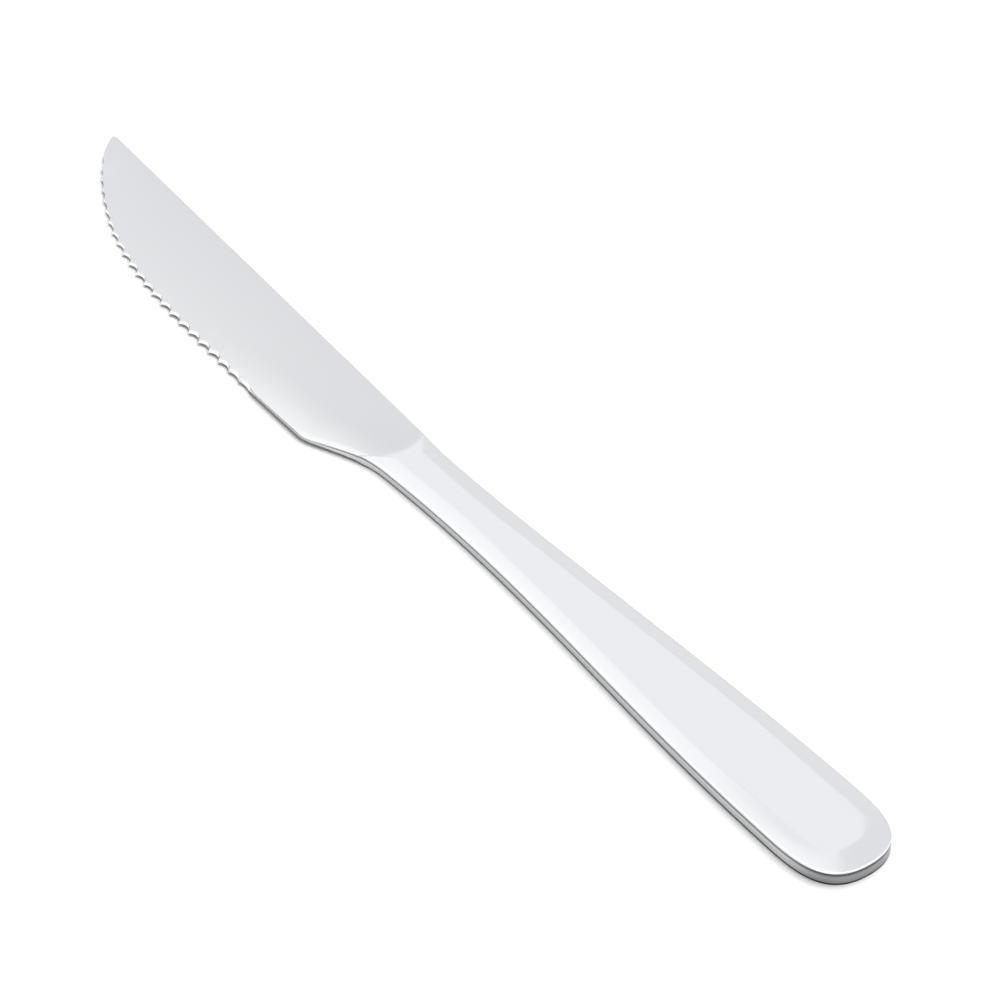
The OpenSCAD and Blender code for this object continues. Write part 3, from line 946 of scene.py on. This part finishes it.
class KNIFE_OT_knife(bpy.types.Operator):
    """Builds the knife's blade and handle, which are one piece of steel, in place of its CAD node"""

    bl_idname = "knife.knife"
    bl_label = "Knife"

    def execute(self, context):
        sizes = context.scene.steak_knife
        steels = (ground_steel, polished_steel, blanked_steel, bevelled_steel)
        materials = [make(sizes.colours) for make in steels]
        skin = Skin(Outline(sizes.blade, sizes.handle), sizes.scallops)
        mesh = skin.mesh()
        piece = bpy.data.objects.new("steak_knife", mesh)
        context.scene.collection.objects.link(piece)
        settings = scallop_settings(sizes.scallops, skin.pitch)
        tree = scallop_tree(settings, materials)
        press = piece.modifiers.new("Scallops", "NODES")
        press.node_group = tree
        for socket in tree.interface.items_tree:
            if socket.in_out == "INPUT" and socket.name in settings:
                press[socket.identifier] = float(settings[socket.name])
        context.view_layer.update()
        graph = context.evaluated_depsgraph_get()
        final = bpy.data.meshes.new_from_object(piece.evaluated_get(graph))
        piece.modifiers.remove(press)
        piece.data = final
        bpy.data.meshes.remove(mesh)
        final.name = "steak_knife"
        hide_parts(NODE)
        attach(piece, "root")
        return {"FINISHED"}


class KNIFE_OT_studio(bpy.types.Operator):
    """Builds the floor, the light tent and the camera"""

    bl_idname = "knife.studio"
    bl_label = "Studio"

    def execute(self, context):
        scene = context.scene
        scene.view_settings.view_transform = "Standard"
        make_floor(scene)
        make_lamp(scene)
        make_tent(scene)
        make_camera(scene)
        return {"FINISHED"}


def table_paint():
    """The table top's paint: a brighter white for the camera and the steel's mirror than for the light."""
    # Matt white paint, rolled on: a plain even white. The photo's ground is pure white all round, so the
    # camera sees it brighter than any paint, and the light that it gives the knife is that of a grey.
    material, tree = new_material("white table top")
    shown = (1.3, 1.3, 1.3, 1.0)
    path = add(tree, "ShaderNodeLightPath").outputs
    camera, glossy, through, bounces = (Term(tree, path[name]) for name in (
        "Is Camera Ray", "Is Glossy Ray", "Is Transmission Ray", "Diffuse Depth"))
    # What is mirrored counts as seen only where no matt surface has sent the light on before
    direct = glossy.at_least(through) * bounces.step("LESS_THAN", 0.5)
    shade = add(tree, "ShaderNodeMix", {0: camera.at_least(direct), 6: linear("#909090"), 7: shown},
                data_type="RGBA")
    paint = add(tree, "ShaderNodeBsdfDiffuse", {"Color": shade.outputs[2]})
    add(tree, "ShaderNodeOutputMaterial", {"Surface": paint.outputs[0]})
    return material


def make_floor(scene):
    """The white table top that the knife lies on, which takes its shadow."""
    half = 3.0
    mesh = bpy.data.meshes.new("floor")
    corners = [(-half, -half, 0), (half, -half, 0), (half, half, 0), (-half, half, 0)]
    mesh.from_pydata(corners, [], [(0, 1, 2, 3)])
    mesh.materials.append(table_paint())
    floor = bpy.data.objects.new("floor", mesh)
    scene.collection.objects.link(floor)


def make_lamp(scene):
    """The soft key lamp behind the knife, which throws its short shadow towards the cutting edge."""
    data = bpy.data.lights.new("key lamp", "AREA")
    data.shape = "SQUARE"
    data.size = 1.0
    data.energy = 9.5
    lamp = bpy.data.objects.new("key lamp", data)
    scene.collection.objects.link(lamp)
    lamp.location = Vector((0.1, 0.44, 1.11))
    lamp.rotation_euler = (-lamp.location).to_track_quat("-Z", "Y").to_euler()
    lamp.visible_glossy = False


def middle_width(ahead):
    """Width of the middle cloth, so far ahead of the knife."""
    width = 0.039
    # It widens over the handle, back over the blade, and once more at the handle's end: in which sense,
    # from where, how far and how fast
    flares = ((1.0, -0.906, 0.246, 0.197), (-1.0, -1.0, 0.3, 0.6), (1.0, -0.705, 0.033, 3.0))
    for sense, start, reach, flare in flares:
        width = ((ahead - start) * sense).at_least(0.0).at_most(reach) * flare + width
    return width


def end_cloth(ahead, off):
    """Shade of the cloth at the handle's end: paler towards the camera, and darker round the end."""
    turn_centre, least_turn, dark_shade = -0.684, 0.02, 0.85
    turn = off / (ahead - turn_centre).at_least(least_turn)
    bright = off.eased(-0.15, -0.3, 0.98, 1.07) + off.eased(-0.3, -0.6, 0.0, 0.35)
    return bright + (dark_shade - bright) * turn.eased(-1.0, -0.5, 0.0, 1.0)


def cloth_level(ahead, across, up, place):
    """Level of all cloths, by where they hang, with a faint seam along the middle one."""
    seam = (place.eased(-0.35, -0.6, 0.0, 1.0) * place.eased(-1.3, -1.05, 0.0, 1.0)
            * ahead.eased(-0.76, -0.7, 0.0, 0.05) * ahead.eased(-0.6, -0.65, 0.0, 1.0))
    near_table = up.eased(0.0, 0.5, 0.35, 1.0)
    past_handle = ahead.eased(-0.3, 0.3, 1.0, 1.5)
    straight_above = (ahead * ahead + across * across).root().eased(0.12, 0.35, 0.5, 1.0)
    camera_side = across.eased(-0.7, -1.6, 1.0, 0.58)
    return (1.0 - seam) * near_table * past_handle * straight_above * camera_side


def cloth_shades(tree, place):
    """Shades of the cloths, from the one on the camera's side over the middle one to the one behind."""
    grey, cloth = (1.0, 1.0, 1.0), (0.995, 1.0, 1.0155)
    shades = ((-10.0, 1.45, grey), (-6.0, 1.35, grey), (-4.6, 1.15, grey), (-3.8, 1.08, grey),
              (-1.7, 1.05, grey), (-1.15, 1.0, cloth), (-0.95, 0.97, cloth), (2.3, 0.97, cloth),
              (2.8, 0.85, grey), (6.0, 0.87, grey))
    first, final = shades[0][0], shades[-1][0]
    along = add(tree, "ShaderNodeMapRange", {"Value": place, "From Min": first, "From Max": final})
    ramp = add(tree, "ShaderNodeValToRGB", {"Fac": along.outputs[0]})
    fill_ramp(ramp, [((at - first) / (final - first), (*(level * part for part in tint), 1.0))
                     for at, level, tint in shades])
    return ramp.outputs[0]


def make_tent(scene):
    """The light tent over the table: its cloths are what the steel mirrors, over a white background."""
    world = bpy.data.worlds.new("light tent")
    scene.world = world
    world.use_nodes = True
    tree = world.node_tree
    tree.nodes.clear()
    # Where a way into the tent meets a flat ceiling, one unit up: so far ahead, towards the handle's end, and
    # across, away from the camera. Its place is how far off the middle cloth's middle line it is, in widths
    # of that cloth.
    least_up, middle, end_lean = 0.02, 0.66, 0.35
    texture = add(tree, "ShaderNodeTexCoord")
    way = add(tree, "ShaderNodeSeparateXYZ", {0: texture.outputs["Generated"]})
    x, y, up = (Term(tree, way.outputs[axis]) for axis in "XYZ")
    height = up.at_least(least_up)
    ahead, across = x / height, y / height
    off = across - middle
    place = off / middle_width(ahead)
    end_share = (ahead + off.at_least(0.0) * end_lean).eased(-0.672, -0.63, 0.0, 1.0)
    cloths = add(tree, "ShaderNodeMix",
                 {0: end_share, 6: cloth_shades(tree, place), 7: end_cloth(ahead, off)},
                 data_type="RGBA").outputs[2]
    # The camera sees plain white, the steel mirrors the cloths, and all else gets an even weak light
    path = add(tree, "ShaderNodeLightPath")
    tent = add(tree, "ShaderNodeBackground",
               {"Color": cloths, "Strength": cloth_level(ahead, across, up, place)})
    light = add(tree, "ShaderNodeBackground", {"Color": linear("#FFFFFF"), "Strength": 0.43})
    white = add(tree, "ShaderNodeBackground", {"Color": linear("#FFFFFF"), "Strength": 1.0})
    seen = add(tree, "ShaderNodeMath",
               {0: path.outputs["Is Camera Ray"], 1: path.outputs["Is Transmission Ray"]},
               operation="MAXIMUM")
    lit = add(tree, "ShaderNodeMixShader",
              {0: path.outputs["Is Glossy Ray"], 1: light.outputs[0], 2: tent.outputs[0]})
    shown = add(tree, "ShaderNodeMixShader", {0: seen.outputs[0], 1: lit.outputs[0], 2: white.outputs[0]})
    add(tree, "ShaderNodeOutputWorld", {"Surface": shown.outputs[0]})


def make_camera(scene):
    """The camera of the photograph: it looks down across the knife from the handle's end."""
    camera_data = bpy.data.cameras.new("camera")
    camera_data.lens = 145.39
    camera_data.sensor_width = 36.0
    camera_data.clip_start = 0.01
    camera = bpy.data.objects.new("camera", camera_data)
    scene.collection.objects.link(camera)
    place = Vector((0.39566, -0.28412, 0.43496))
    target = Vector((0.01026, 0.00708, 0.00006))
    camera.location = place
    camera.rotation_euler = (target - place).to_track_quat("-Z", "Y").to_euler()
    scene.camera = camera


class SteakKnife(bpy.types.PropertyGroup):
    """All sizes and colours of the steak knife."""

    blade: PointerProperty(type=BladeSizes)
    scallops: PointerProperty(type=ScallopSizes)
    handle: PointerProperty(type=HandleSizes)
    colours: PointerProperty(type=FinishColours)


class KNIFE_PT_panel(bpy.types.Panel):
    """Lists the knife's sizes, its colours and the buttons that build it."""

    bl_label = "Steak knife"
    bl_idname = "KNIFE_PT_panel"
    bl_space_type = "VIEW_3D"
    bl_region_type = "UI"
    bl_category = "Steak knife"

    def draw(self, context):
        sizes = context.scene.steak_knife
        for group in (sizes.blade, sizes.scallops, sizes.handle, sizes.colours):
            box = self.layout.box()
            for name in group.__annotations__:
                box.prop(group, name)
        for operator in OPERATORS:
            self.layout.operator(operator.bl_idname)


OPERATORS = (KNIFE_OT_knife, KNIFE_OT_studio)
CLASSES = (BladeSizes, ScallopSizes, HandleSizes, FinishColours, SteakKnife, *OPERATORS, KNIFE_PT_panel)


def register():
    """Adds the classes and the scene's property."""
    for kind in CLASSES:
        bpy.utils.register_class(kind)
    bpy.types.Scene.steak_knife = PointerProperty(type=SteakKnife)


def unregister():
    """Takes the property and the classes away again."""
    del bpy.types.Scene.steak_knife
    for kind in reversed(CLASSES):
        bpy.utils.unregister_class(kind)


def main():
    """Builds the knife and the studio."""
    register()
    bpy.ops.knife.knife()
    bpy.ops.knife.studio()
    bpy.context.view_layer.update()


if __name__ == "__main__":
    main()
